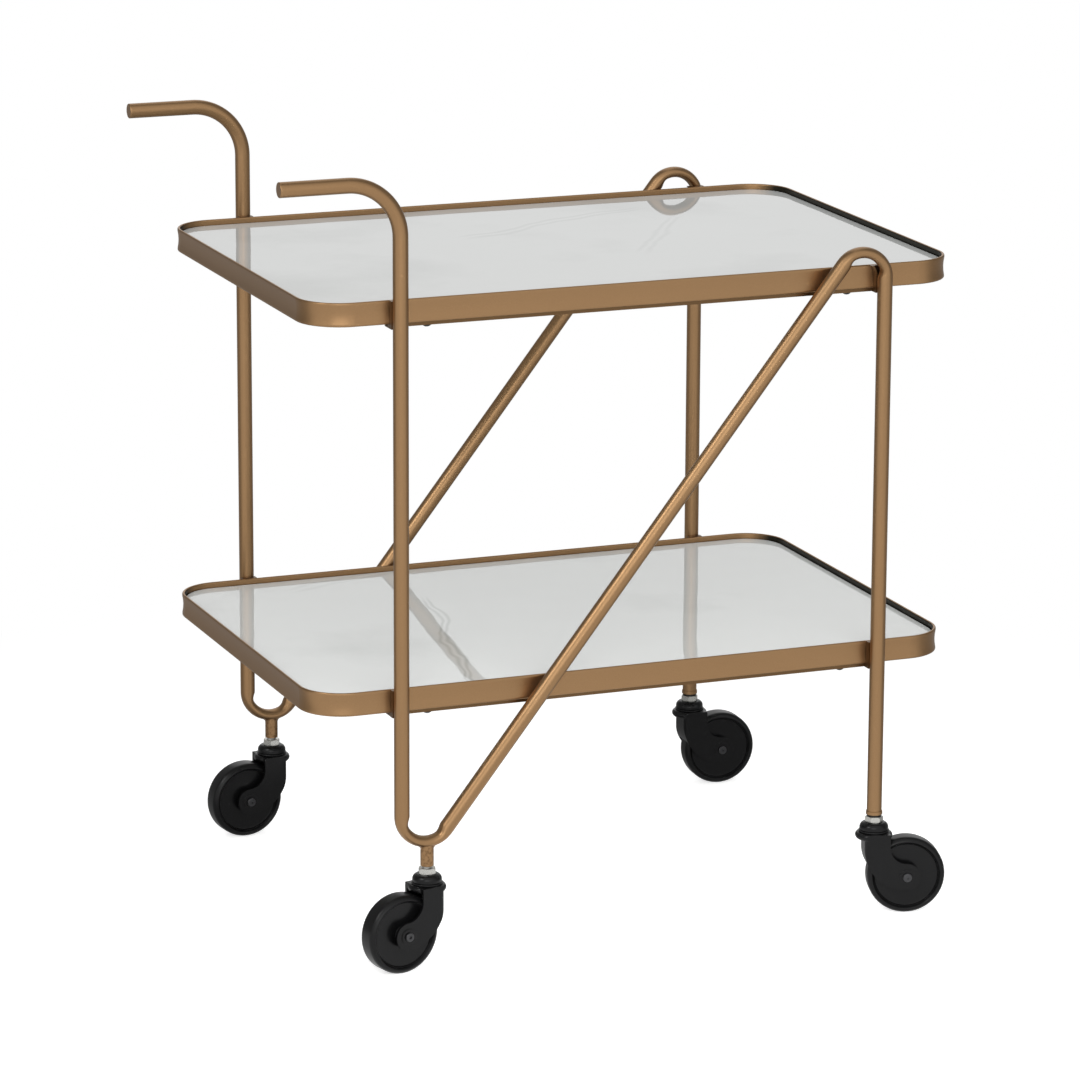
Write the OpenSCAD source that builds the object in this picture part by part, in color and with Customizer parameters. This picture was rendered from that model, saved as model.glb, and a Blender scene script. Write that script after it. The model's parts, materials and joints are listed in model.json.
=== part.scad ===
// Two-tier dessert trolley. Two bent steel tubes carry two framed glass trays,
// and four swivel casters carry the tubes. Floor at z = 0, handles towards -X,
// front side towards -Y. Millimetres.

/* [Trays] */
// Length of a tray over its rim
tray_l = 720; // [680:5:760]
// Width of a tray over its rim
tray_w = 480; // [420:5:540]
// Outer corner radius of a rim
corner_r = 47; // [38:1:56]
// Height of the upper rim's top edge above the floor
upper_z = 705; // [660:5:780]
// Height of the lower rim's top edge above the floor
lower_z = 298; // [275:1:360]

/* [Rims] */
// Height of the rim band
rim_h = 25; // [22:0.5:32]
// Thickness of the band at its rolled edges
rim_t = 3.2; // [2.6:0.1:4.4]
// Depth of the hollow along the band's outer face
cove_d = 1.1; // [0.4:0.1:1.5]
// Height of the plain strip above and below the hollow
strip_h = 2.6; // [1.8:0.1:4]
// Width of the ledge that carries the glass
ledge_w = 9; // [8:0.5:13]
// Thickness of the ledge
ledge_t = 1.5; // [1:0.1:2.5]

/* [Glass] */
// Thickness of a glass panel
glass_t = 5; // [4:0.5:7]
// Depth of the glass below the rim's top edge
glass_recess = 6; // [3:0.5:8]
// Gap round the glass, inside the rim
glass_gap = 1.5; // [0.6:0.1:2.4]
// Diameter of a glass pad
pad_d = 6; // [4:0.5:6.5]
// Thickness of a glass pad
pad_t = 1; // [0.8:0.1:2]
// Distance of the end pads from the tray's short sides
pad_inset = 140; // [80:5:200]

/* [Side frames] */
// Outer diameter of the tube
tube_d = 16; // [14:0.5:19]
// Wall of the tube
tube_wall = 1.5; // [1:0.1:2]
// Distance between the two legs of a side frame, centre to centre
leg_span = 537; // [490:1:580]
// Free space between the rim and the tube
standoff = 4; // [2:0.5:8]
// Bend radius of the handle, to the tube's centre line
handle_r = 56; // [40:1:70]
// Reach of the handle from the leg's centre line
handle_reach = 128.5; // [100:0.5:150]
// Height of the handle's top above the upper rim
handle_rise = 130; // [100:1:160]
// Bend radius at the foot of the left leg
bend_r = 27.5; // [22:0.5:34]
// Bend radius of the loop above the right leg
loop_r = 27; // [22:0.5:34]
// Height of the loop's top above the upper rim
loop_rise = 22; // [14:1:40]
// Thickness of the handle's end cap
handle_cap_t = 2; // [1:0.5:4]
// Depth of the handle cap's plug in the tube
handle_plug = 10; // [6:1:20]

/* [Frame feet] */
// Length of the caster stub under the left bend
stub_len = 20; // [19:0.5:30]
// Diameter of the caster stub
stub_d = 14; // [12.5:0.5:15.5]
// Diameter of the collar at the right leg's end
collar_d = 17.6; // [17:0.1:22]
// Height of that collar
collar_h = 3.5; // [2:0.5:8]
// Diameter of the insert's foot, between the collar and the stem nut
insert_foot_d = 15.4; // [13:0.1:17]
// Length of the insert in the right leg
insert_len = 26; // [18:1:40]
// Depth of the threaded hole for a caster stem
thread_depth = 18; // [12:1:19]

/* [Tray fixings] */
// Width of a support rail
rail_w = 10; // [9:0.5:16]
// Wall of a support rail
rail_wall = 1.5; // [1:0.1:2]
// Drop of a support rail below the rim
rail_drop = 4; // [2:0.5:8]
// Depth to which a bracket wraps the tube
saddle_d = 3; // [1:0.5:5]
// Diameter of a tray screw
screw_d = 5; // [4:0.5:5.5]
// Diameter of a tray screw's head
screw_head_d = 10; // [8:0.5:10]
// Height of a tray screw's head
screw_head_h = 2.5; // [1.5:0.1:4]
// Distance of a tray screw from the nearest leg
screw_inset = 35; // [22:1:80]

/* [Casters] */
// Distance of the wheel's axle behind the swivel axis
trail = 34.5; // [32:0.5:38]
// Turn of the front left caster at rest, from +X
front_left_turn = 194; // [0:1:359]
// Turn of the front right caster at rest, from +X
front_right_turn = 344; // [0:1:359]
// Turn of the rear left caster at rest, from +X
rear_left_turn = 187; // [0:1:359]
// Turn of the rear right caster at rest, from +X
rear_right_turn = 357; // [0:1:359]
// Diameter of the caster stem's thread
stem_d = 10; // [8.5:0.5:11]
// Diameter of the kingpin below the thread
kingpin_d = 8; // [6:0.5:8]
// Diameter of the kingpin's riveted head
rivet_d = 12; // [10:0.5:12.5]
// Height of the riveted head
rivet_h = 2.5; // [1.5:0.1:3]
// Length of thread left free above a stem nut
thread_free = 2.4; // [1:0.1:5]
// Height of the stem nut
nut_h = 6.2; // [5:0.1:9]
// Width of the stem nut across its flats
nut_af = 17; // [15:0.5:19]
// Diameter of the bearing cap
cap_d = 31; // [29:0.5:36]
// Height of the bearing cap
cap_h = 8; // [7.5:0.1:11]
// Rounding of the bearing cap's shoulder
cap_round = 6; // [3:0.5:6.5]
// Diameter of the dust ring
ring_d = 33; // [31:0.5:38]
// Height of the dust ring
ring_h = 2.2; // [2:0.1:4]
// Running gap between the dust ring and the cap
race_gap = 0.4; // [0.2:0.1:0.8]
// Diameter of a bearing ball
ball_d = 3.2; // [2.4:0.1:3.6]
// Diameter of the circle that the balls run on
race_d = 22; // [18:0.5:24]
// Number of balls in a caster
ball_count = 12; // [8:1:14]

/* [Forks] */
// Height of the fork's crown top above the wheel
crown_lift = 5.8; // [3.5:0.1:9]
// Thickness of the crown
crown_t = 6; // [5:0.5:8]
// Diameter of the crown
crown_d = 40; // [37:0.5:44]
// Height of the crown's round edge
crown_side = 8; // [6:0.5:9.5]
// Thickness of a fork arm
arm_t = 3.5; // [2.5:0.1:5]
// Reach of an arm ahead of the swivel axis
arm_front = 11.5; // [9.5:0.5:13]
// Reach of an arm's top behind the swivel axis
arm_back = 16; // [14:0.5:19]
// Drop of an arm's top below the crown's top
arm_drop = 0.5; // [0.3:0.1:4]
// Radius of an arm's end round the axle
arm_end_r = 14.5; // [10:0.5:15.5]
// Thickness of the fork's front wall
nose_t = 3; // [2:0.1:3.4]
// Height of the front wall's upright part, below the crown
nose_h = 11; // [4:0.5:16]
// Rounding of the front wall's upright corners
nose_r = 5; // [2:0.5:6]
// Diameter of the raised pad round the axle
pad_ring_d = 17; // [15:0.5:20]
// Height of that pad
pad_ring_h = 1; // [0.5:0.1:2]

/* [Wheels] */
// Diameter of a wheel
wheel_d = 84; // [78:1:92]
// Width of a tyre
tyre_w = 24; // [20:0.5:26]
// Thickness of a tyre
tyre_t = 7; // [5:0.5:10]
// Rounding of a tyre's shoulders, at most nine tenths of its thickness
shoulder_r = 6; // [2:0.5:6.5]
// Gap between a wheel and the fork, at the tread
tread_gap = 1.2; // [0.8:0.1:1.6]
// Gap between a tyre and a fork arm
side_gap = 1.7; // [1:0.1:3]
// Step of the core's lip behind the tyre's side
lip_step = 1.5; // [0.5:0.1:3]
// Width of the core's lip
lip_w = 3; // [2:0.5:5]
// Depth of the dish in the core
dish_d = 5.5; // [2:0.5:6]
// Diameter of the hub
hub_d = 20; // [18:0.5:26]
// Gap between the hub and a fork arm
hub_gap = 0.4; // [0.2:0.1:0.8]
// Outer diameter of the axle bush
bush_d = 12; // [10:0.5:13]
// Diameter of the axle
axle_d = 6; // [5:0.5:7]
// Diameter of the axle's head
axle_head_d = 9.6; // [8:0.2:12]
// Height of the axle's head
axle_head_h = 2.2; // [1.5:0.1:4]
// Height of the axle's nut
axle_nut_h = 4; // [3:0.5:6]
// Width of the axle's nut across its flats
axle_nut_af = 10; // [9:0.5:12]

/* [Fits] */
// Radial clearance of a seated joint
seat_gap = 0.05; // [0.02:0.01:0.1]
// Radial clearance of a running joint
run_gap = 0.05; // [0.02:0.01:0.09]
// Radial clearance of a screw in a plain hole
screw_gap = 0.25; // [0.1:0.05:0.4]
// Gap between a support rail and the rim's inner face
rail_gap = 0.3; // [0.1:0.1:1]
// End clearance of a screw, a thread or the kingpin's head
end_gap = 0.3; // [0.2:0.1:0.6]

/* [Hidden] */
$fn = 72;

BRASS = [0.62, 0.46, 0.29];
DARK_BRASS = [0.50, 0.36, 0.22];
STONE_WHITE = [0.90, 0.91, 0.90];
ZINC = [0.80, 0.80, 0.78];
STEEL = [0.55, 0.56, 0.58];
BLACK = [0.10, 0.10, 0.11];
TYRE_BLACK = [0.06, 0.06, 0.07];
CLEAR = [0.75, 0.78, 0.76];

CASTERS = ["front_left", "front_right", "rear_left", "rear_right"];
CASTER_PARTS = ["caster_cap", "swivel_balls", "dust_ring", "fork", "axle_bolt",
                "axle_nut", "axle_bush", "wheel_core", "tyre"];

// The trays' centre in X, which puts the origin midway between the handle's end
// and the far end of the trays
tray_x = (leg_span / 2 + handle_reach - tray_l / 2) / 2;
left_x = tray_x - leg_span / 2;
right_x = tray_x + leg_span / 2;
tube_r = tube_d / 2;
bore_r = tube_r - tube_wall;
side_y = tray_w / 2 + standoff + tube_r;

// Heights of a caster's parts, from the floor up
axle_z = wheel_d / 2;
crown_top = wheel_d + crown_lift;
crown_bottom = crown_top - crown_t;
ring_top = crown_top + ring_h;
cap_bottom = ring_top + race_gap;
cap_top = cap_bottom + cap_h;
nut_top = cap_top + nut_h;
foot_z = nut_top + thread_free;
shoulder_z = cap_bottom + cap_h / 3;

// Depths from a wheel's middle plane outwards
arm_in = tyre_w / 2 + side_gap;
arm_out = arm_in + arm_t;

// Centre line of a side frame, in X and Z
handle_z = upper_z + handle_rise - tube_r;
handle_c = [left_x - handle_r, handle_z - handle_r];
bend_c = [left_x + bend_r, foot_z + stub_len + tube_r + bend_r];
loop_c = [right_x - loop_r, upper_z + loop_rise - tube_r - loop_r];
run = loop_c - bend_c;
run_angle = atan2(run.y, run.x) + asin((bend_r + loop_r) / norm(run));
handle_tip = [left_x - handle_reach, handle_z];
// The diagonal runs this far into both bends, this much thinner, so that the tube is one body
lap = 0.3;
lap_step = 0.04;

// Heights inside a tray, from the rim's bottom edge
ledge_z = rim_h - glass_recess - glass_t - pad_t - ledge_t;
ledge_top = ledge_z + ledge_t;
rail_h = ledge_z + rail_drop;
inner_l = tray_l - 2 * corner_r;
inner_w = tray_w - 2 * corner_r;
rail_y = tray_w / 2 - rim_t - rail_gap - rail_w / 2;
pad_line = rim_t + (glass_gap + ledge_w) / 2;
screw_y = tray_w / 2 - rim_t - ledge_w / 2;
screw_x = leg_span / 2 - screw_inset;

// Where the casters stand: X, Y and turn
caster_at = [[bend_c.x, -side_y, front_left_turn], [right_x, -side_y, front_right_turn],
             [bend_c.x, side_y, rear_left_turn], [right_x, side_y, rear_right_turn]];

// The fork's front edge in X and Z: upright under the crown, then an arc into the round end;
// its back edge is a hollow arc
front_z = crown_bottom - nose_h;
front_reach = trail + arm_front;
front_drop = front_z - axle_z;
front_r = (pow(front_reach, 2) + pow(front_drop, 2) - pow(arm_end_r, 2)) / (2 * (front_reach - arm_end_r));
front_c = [front_r - arm_front, front_z];
back_r = trail - arm_back;
back_c = [trail, axle_z + arm_end_r + back_r];

function polar(c, r, a) = c + r * [cos(a), sin(a)];
function rise_radius(half_chord, rise) = (half_chord * half_chord + rise * rise) / (2 * rise);

// ---- Shared shapes ----

// Rectangle from the Y axis outwards with its top outer corner rounded
module round_top(w, h, r) {
    square([w - r, h]);
    square([w, h - r]);
    intersection() {
        translate([w - r, h - r]) circle(r = r);
        square([w, h]);
    }
}

// Disc standing on z = 0 with a rounded top edge
module round_disc(d, h, r) {
    rotate_extrude() round_top(d / 2, h, r);
}

// Disc standing on z = 0 with a fully rounded edge
module round_edge_disc(d, h) {
    rotate_extrude() {
        square([(d - h) / 2, h]);
        translate([(d - h) / 2, h / 2]) circle(r = h / 2);
    }
}

// Hexagonal prism whose top and bottom corners are turned off
module hex_nut(af, h, bore) {
    across_corners = af / cos(30);
    difference() {
        intersection() {
            cylinder(h = h, r = across_corners / 2, $fn = 6);
            rotate_extrude() difference() {
                square([across_corners / 2, h]);
                for (z = [0, h]) translate([across_corners / 2, z])
                    rotate([0, 0, 45]) square(across_corners / 12, center = true);
            }
        }
        translate([0, 0, -1]) cylinder(h = h + 2, r = bore / 2 + seat_gap);
    }
}

// Drawn for the front of the trolley, or mirrored to its rear
module on_side(rear) {
    mirror([0, rear ? 1 : 0, 0]) children();
}

// ---- Side frames ----

// Stands a drawing in X and Z on the front side frame's plane
module side_plane() {
    translate([0, -side_y, 0]) rotate([90, 0, 0]) children();
}

module bar(p, q, r) {
    translate([p.x, p.y, 0]) rotate([0, 90, atan2(q.y - p.y, q.x - p.x)])
        cylinder(h = norm(q - p), r = r);
}

module bow(c, bend, from, span, r) {
    translate([c.x, c.y, 0]) rotate([0, 0, from])
        rotate_extrude(angle = span) translate([bend, 0]) circle(r = r);
}

// The frame's whole centre line as a solid of radius r, longer by "over" at both ends
module side_path(r, over = 0) {
    along = lap * [cos(run_angle), sin(run_angle)];
    bar(handle_tip + [handle_cap_t - over, 0], polar(handle_c, handle_r, 90), r);
    bow(handle_c, handle_r, 0, 90, r);
    bar(polar(handle_c, handle_r, 0), polar(bend_c, bend_r, 180), r);
    bow(bend_c, bend_r, 180, run_angle + 90, r);
    bar(polar(bend_c, bend_r, run_angle - 90) - along,
        polar(loop_c, loop_r, run_angle + 90) + along, r - lap_step);
    bow(loop_c, loop_r, 0, run_angle + 90, r);
    bar([right_x, loop_c.y], [right_x, foot_z + collar_h - over], r);
}

module side_frame(rear) {
    color(BRASS) on_side(rear) side_plane() difference() {
        side_path(tube_r);
        side_path(bore_r, 1);
    }
}

module handle_caps() {
    color(BRASS) for (rear = [false, true]) on_side(rear) side_plane()
        translate([handle_tip.x, handle_tip.y, 0]) rotate([0, 90, 0]) {
            mirror([0, 0, 1]) translate([0, 0, -handle_cap_t])
                round_disc(tube_d, handle_cap_t, handle_cap_t / 2);
            translate([0, 0, handle_cap_t / 2])
                cylinder(h = handle_cap_t / 2 + handle_plug, r = bore_r - seat_gap);
        }
}

// Stub under the left bend, coped to the tube and threaded from below
module caster_stubs() {
    color(BRASS) for (rear = [false, true]) on_side(rear) difference() {
        translate([bend_c.x, -side_y, foot_z]) cylinder(h = stub_len + tube_r, r = stub_d / 2);
        side_plane() bow(bend_c, bend_r, 180, run_angle + 90, tube_r + seat_gap);
        translate([bend_c.x, -side_y, foot_z - 1])
            cylinder(h = thread_depth + 1, r = stem_d / 2 + seat_gap);
    }
}

// Threaded insert whose collar closes the right leg and whose foot stands on the stem nut
module leg_inserts() {
    color(BRASS) for (rear = [false, true]) on_side(rear)
        translate([right_x, -side_y, foot_z]) difference() {
            union() {
                translate([0, 0, -thread_free]) cylinder(h = thread_free + collar_h, r = insert_foot_d / 2);
                cylinder(h = collar_h, r = collar_d / 2);
                cylinder(h = collar_h + insert_len, r = bore_r - seat_gap);
            }
            translate([0, 0, -thread_free - 1])
                cylinder(h = thread_depth + thread_free + 1, r = stem_d / 2 + seat_gap);
        }
}

// ---- Trays ----

// Section of the rim with its outer face on x = 0, and the ledge inside
module rim_section() {
    cove_r = rise_radius(rim_h / 2 - strip_h, cove_d);
    difference() {
        union() {
            translate([-rim_t, rim_t / 2]) square([rim_t, rim_h - rim_t]);
            for (z = [rim_t / 2, rim_h - rim_t / 2]) translate([-rim_t / 2, z]) circle(r = rim_t / 2);
        }
        translate([cove_r - cove_d, rim_h / 2]) circle(r = cove_r, $fn = 240);
    }
    translate([-rim_t - ledge_w, ledge_z]) square([ledge_w + rim_t / 4, ledge_t]);
}

module rim_side(length) {
    rotate([90, 0, 0]) linear_extrude(length, center = true) rim_section();
}

module rim(top_z) {
    color(BRASS) translate([tray_x, 0, top_z - rim_h]) difference() {
        union() {
            for (turn = [0, 180]) rotate([0, 0, turn]) {
                translate([tray_l / 2, 0, 0]) rim_side(inner_w);
                translate([0, tray_w / 2, 0]) rotate([0, 0, 90]) rim_side(inner_l);
                translate([inner_l / 2, inner_w / 2, 0]) rim_corner();
                translate([-inner_l / 2, inner_w / 2, 0]) rotate([0, 0, 90]) rim_corner();
            }
        }
        for (x = [-screw_x, screw_x], y = [-screw_y, screw_y]) translate([x, y, ledge_z - 1])
            cylinder(h = ledge_t + 2, r = screw_d / 2 + seat_gap);
    }
}

module rim_corner() {
    rotate_extrude(angle = 90) translate([corner_r, 0]) rim_section();
}

module rounded_plate(l, w, r, t) {
    linear_extrude(t) {
        square([l - 2 * r, w], center = true);
        square([l, w - 2 * r], center = true);
        for (x = [-1, 1], y = [-1, 1]) translate([x * (l / 2 - r), y * (w / 2 - r)]) circle(r = r);
    }
}

module glass(top_z) {
    edge = rim_t + glass_gap;
    color(STONE_WHITE) translate([tray_x, 0, top_z - glass_recess - glass_t])
        rounded_plate(tray_l - 2 * edge, tray_w - 2 * edge, corner_r - edge, glass_t);
}

module glass_pads(top_z) {
    color(CLEAR) translate([tray_x, 0, top_z - rim_h + ledge_top]) {
        for (x = [-1, 0, 1], y = [-1, 1])
            translate([x * (tray_l / 2 - pad_inset), y * (tray_w / 2 - pad_line), 0])
                cylinder(h = pad_t, r = pad_d / 2);
        for (x = [-1, 1]) translate([x * (tray_l / 2 - pad_line), 0, 0])
            cylinder(h = pad_t, r = pad_d / 2);
    }
}

// Box-section rail under the ledge, from leg to leg
module rail(top_z, rear) {
    length = leg_span + tube_d;
    color(DARK_BRASS) on_side(rear) translate([tray_x, -rail_y, top_z - rim_h - rail_drop])
        difference() {
            translate([-length / 2, -rail_w / 2, 0]) cube([length, rail_w, rail_h]);
            translate([-length / 2 - 1, rail_wall - rail_w / 2, rail_wall])
                cube([length + 2, rail_w - 2 * rail_wall, rail_h - 2 * rail_wall]);
            for (x = [-screw_x, screw_x]) translate([x, rail_y - screw_y, -1])
                cylinder(h = rail_h + 2, r = screw_d / 2 + screw_gap);
        }
}

// Outline of both legs at a tray's height, as wide as the tube
module leg_outline(z, h) {
    intersection() {
        translate([left_x - tray_l, z]) square([2 * tray_l, h]);
        union() {
            translate([left_x - tube_r, foot_z]) square([tube_d, handle_c.y - foot_z]);
            translate([right_x - tube_r, foot_z]) square([tube_d, loop_c.y - foot_z]);
            intersection() {
                translate(loop_c) difference() {
                    circle(r = loop_r + tube_r);
                    circle(r = loop_r - tube_r);
                }
                translate(loop_c) square(loop_r + tube_r);
            }
        }
    }
}

// Plate from the rim to the tube, with a foot under the rim that meets the rail
module brackets(top_z) {
    bottom = top_z - rim_h - rail_drop;
    color(DARK_BRASS) for (rear = [false, true]) on_side(rear) {
        side_plane() difference() {
            translate([0, 0, -tube_r - standoff]) linear_extrude(standoff + saddle_d)
                leg_outline(bottom, rim_h + rail_drop);
            side_path(tube_r + seat_gap);
        }
        for (x = [left_x, right_x])
            translate([x - tube_r, -tray_w / 2 - standoff / 2, bottom])
                cube([tube_d, standoff / 2 + rim_t + rail_gap, rail_drop]);
    }
}

module tray_screws(top_z) {
    dome_r = rise_radius(screw_head_d / 2, screw_head_h);
    slot = screw_head_d / 8;
    color(STEEL) for (x = [-screw_x, screw_x], y = [-screw_y, screw_y])
        translate([tray_x + x, y, top_z - rim_h - rail_drop]) {
            cylinder(h = rail_h + ledge_t - end_gap, r = screw_d / 2);
            mirror([0, 0, 1]) difference() {
                rotate_extrude() intersection() {
                    translate([0, screw_head_h - dome_r]) circle(r = dome_r);
                    square([screw_head_d / 2, screw_head_h]);
                }
                for (a = [0, 90]) rotate([0, 0, a]) translate([0, 0, screw_head_h])
                    cube([screw_head_d / 2, slot, screw_head_h], center = true);
            }
        }
}

// ---- Casters ----

// Places a caster's drawing: swivel axis on Z, wheel trailing towards +X
module at_caster(i) {
    translate([caster_at[i].x, caster_at[i].y, 0]) rotate([0, 0, caster_at[i].z]) children();
}

// Side of a caster that faces the front of the trolley, which holds the axle's head
function head_side(i) = cos(caster_at[i].z) > 0 ? -1 : 1;

// Puts a drawing's Z axis on the axle, pointing out on the given side
module on_axle(side) {
    translate([trail, 0, axle_z]) rotate([-90 * side, 0, 0]) children();
}

module caster_stems() {
    color(ZINC) for (i = [0:3]) at_caster(i) {
        translate([0, 0, crown_bottom - end_gap - rivet_h]) cylinder(h = rivet_h, r = rivet_d / 2);
        translate([0, 0, crown_bottom - end_gap - rivet_h / 2])
            cylinder(h = shoulder_z - crown_bottom + end_gap + rivet_h, r = kingpin_d / 2);
        translate([0, 0, shoulder_z])
            cylinder(h = foot_z + thread_depth - end_gap - shoulder_z, r = stem_d / 2);
    }
}

module stem_nuts() {
    color(ZINC) for (i = [0:3]) at_caster(i) translate([0, 0, cap_top])
        hex_nut(nut_af, nut_h, stem_d);
}

module ball_groove() {
    rotate_extrude() translate([race_d / 2, ring_top + race_gap / 2]) circle(r = ball_d / 2 + run_gap);
}

module caster_cap(i) {
    color(BLACK) at_caster(i) difference() {
        translate([0, 0, cap_bottom]) round_disc(cap_d, cap_h, cap_round);
        ball_groove();
        translate([0, 0, shoulder_z]) cylinder(h = cap_h, r = stem_d / 2 + seat_gap);
        translate([0, 0, cap_bottom - 1]) cylinder(h = cap_h, r = kingpin_d / 2 + seat_gap);
    }
}

module swivel_balls(i) {
    color(STEEL) at_caster(i) for (k = [0:ball_count - 1]) rotate([0, 0, k * 360 / ball_count])
        translate([race_d / 2, 0, ring_top + race_gap / 2]) sphere(r = ball_d / 2, $fn = 24);
}

// Lower race with a fully rounded edge, seated on the fork's crown
module dust_ring(i) {
    color(BLACK) at_caster(i) difference() {
        translate([0, 0, crown_top]) round_edge_disc(ring_d, ring_h);
        ball_groove();
        translate([0, 0, crown_top - 1]) cylinder(h = ring_h + 2, r = kingpin_d / 2 + run_gap);
    }
}

// Side view of what lies behind the fork's front edge, set back by a wall, up to a height
module behind_front(wall, top) {
    intersection() {
        translate(front_c) circle(r = front_r - wall, $fn = 180);
        translate([-arm_front, axle_z - arm_end_r]) square([front_reach, front_z - axle_z + arm_end_r]);
    }
    translate([wall - arm_front, front_z]) square([front_reach - wall, top - front_z]);
}

module fork_outline() {
    translate([trail, axle_z]) circle(r = arm_end_r);
    difference() {
        behind_front(0, crown_top - arm_drop);
        translate(back_c) circle(r = back_r);
        translate([arm_back, back_c.y]) square(2 * wheel_d);
    }
}

// The fork from above, with its front corners rounded
module fork_plan() {
    translate([nose_r - arm_front, -arm_out]) square([2 * wheel_d, 2 * arm_out]);
    translate([-arm_front, nose_r - arm_out]) square([wheel_d, 2 * (arm_out - nose_r)]);
    for (side = [-1, 1]) translate([nose_r - arm_front, side * (arm_out - nose_r)]) circle(r = nose_r);
}

module fork(i) {
    color(BLACK) at_caster(i) difference() {
        union() {
            intersection() {
                rotate([90, 0, 0]) linear_extrude(2 * arm_out, center = true) fork_outline();
                linear_extrude(2 * wheel_d) fork_plan();
            }
            intersection() {
                translate([0, 0, crown_top - crown_side]) round_edge_disc(crown_d, crown_side);
                cube([2 * crown_d, 2 * arm_out, 4 * wheel_d], center = true);
            }
            on_axle(1) cylinder(h = 2 * (arm_out + pad_ring_h), r = pad_ring_d / 2, center = true);
        }
        on_axle(1) cylinder(h = 2 * arm_in, r = wheel_d / 2 + tread_gap, center = true, $fn = 180);
        rotate([90, 0, 0]) linear_extrude(2 * arm_in, center = true) behind_front(nose_t, crown_bottom);
        cylinder(h = 2 * wheel_d, r = kingpin_d / 2 + run_gap);
        on_axle(1) cylinder(h = 3 * arm_out, r = axle_d / 2 + seat_gap, center = true);
    }
}

// Socket-head bolt through both arms and the bush
module axle_bolt(i) {
    seat = arm_out + pad_ring_h;
    color(STEEL) at_caster(i) on_axle(head_side(i)) difference() {
        union() {
            translate([0, 0, seat]) round_disc(axle_head_d, axle_head_h, axle_head_h / 3);
            translate([0, 0, -seat - axle_nut_h]) cylinder(h = 2 * seat + axle_nut_h + 0.5, r = axle_d / 2);
        }
        translate([0, 0, seat + axle_head_h / 3]) cylinder(h = axle_head_h, r = axle_d / 3, $fn = 6);
    }
}

module axle_nut(i) {
    color(ZINC) at_caster(i) on_axle(-head_side(i)) translate([0, 0, arm_out + pad_ring_h])
        hex_nut(axle_nut_af, axle_nut_h, axle_d);
}

// Spacer tube that the arms are clamped against and the wheel turns on
module axle_bush(i) {
    color(STEEL) at_caster(i) on_axle(1) difference() {
        cylinder(h = 2 * arm_in, r = bush_d / 2, center = true);
        cylinder(h = 3 * arm_in, r = axle_d / 2 + seat_gap, center = true);
    }
}

// Moulded core: a hub and a disc dished on both sides behind a plain lip
module wheel_core(i) {
    core_r = wheel_d / 2 - tyre_t;
    half = tyre_w / 2 - lip_step;
    dish_r = rise_radius(core_r - lip_w, dish_d);
    color(BLACK) at_caster(i) on_axle(1) difference() {
        union() {
            cylinder(h = 2 * (arm_in - hub_gap), r = hub_d / 2, center = true);
            rotate_extrude() difference() {
                translate([0, -half]) square([core_r, 2 * half]);
                for (side = [-1, 1]) translate([0, side * (half - dish_d + dish_r)])
                    circle(r = dish_r, $fn = 240);
            }
        }
        cylinder(h = 3 * arm_in, r = bush_d / 2 + run_gap, center = true);
    }
}

module tyre(i) {
    band = tyre_t - seat_gap;
    color(TYRE_BLACK) at_caster(i) on_axle(1) rotate_extrude() translate([wheel_d / 2 - band, 0])
        for (side = [0, 1]) mirror([0, side]) round_top(band, tyre_w / 2, min(shoulder_r, 0.9 * band));
}

// ---- Nodes ----

side_frame(false);  // side_frame_front
side_frame(true);  // side_frame_rear
handle_caps();
caster_stubs();
leg_inserts();
rim(upper_z);  // upper_rim
rim(lower_z);  // lower_rim
glass(upper_z);  // upper_glass
glass(lower_z);  // lower_glass
rail(upper_z, false);  // upper_rail_front
rail(upper_z, true);  // upper_rail_rear
rail(lower_z, false);  // lower_rail_front
rail(lower_z, true);  // lower_rail_rear
brackets(upper_z);  // upper_brackets
brackets(lower_z);  // lower_brackets
tray_screws(upper_z);  // upper_tray_screws
tray_screws(lower_z);  // lower_tray_screws
glass_pads(upper_z);  // upper_glass_pads
glass_pads(lower_z);  // lower_glass_pads
caster_stems();
stem_nuts();
for (i = [0:3]) {
    caster_cap(i);
    swivel_balls(i);
    dust_ring(i);
    fork(i);
    axle_bolt(i);
    axle_nut(i);
    axle_bush(i);
    wheel_core(i);
    tyre(i);
}
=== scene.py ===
import json
import math

import bmesh
import bpy
from mathutils import Matrix, Vector


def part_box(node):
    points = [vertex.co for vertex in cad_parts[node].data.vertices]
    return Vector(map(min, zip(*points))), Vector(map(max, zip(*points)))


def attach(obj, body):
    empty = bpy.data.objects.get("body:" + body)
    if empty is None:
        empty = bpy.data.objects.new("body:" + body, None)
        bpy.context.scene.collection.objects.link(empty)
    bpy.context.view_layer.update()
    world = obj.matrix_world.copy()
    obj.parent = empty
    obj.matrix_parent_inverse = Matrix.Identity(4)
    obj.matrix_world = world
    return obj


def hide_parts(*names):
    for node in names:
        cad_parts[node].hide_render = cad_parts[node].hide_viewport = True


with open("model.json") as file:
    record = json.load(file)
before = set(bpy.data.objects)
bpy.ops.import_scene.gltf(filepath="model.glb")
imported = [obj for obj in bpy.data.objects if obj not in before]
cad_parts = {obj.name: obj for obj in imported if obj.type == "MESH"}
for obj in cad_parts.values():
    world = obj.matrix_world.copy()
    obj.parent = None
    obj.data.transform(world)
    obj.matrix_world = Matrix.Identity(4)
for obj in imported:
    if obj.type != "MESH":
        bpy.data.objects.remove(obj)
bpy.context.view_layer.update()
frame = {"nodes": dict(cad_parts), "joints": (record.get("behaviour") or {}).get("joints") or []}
nodes = frame["nodes"]

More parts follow.
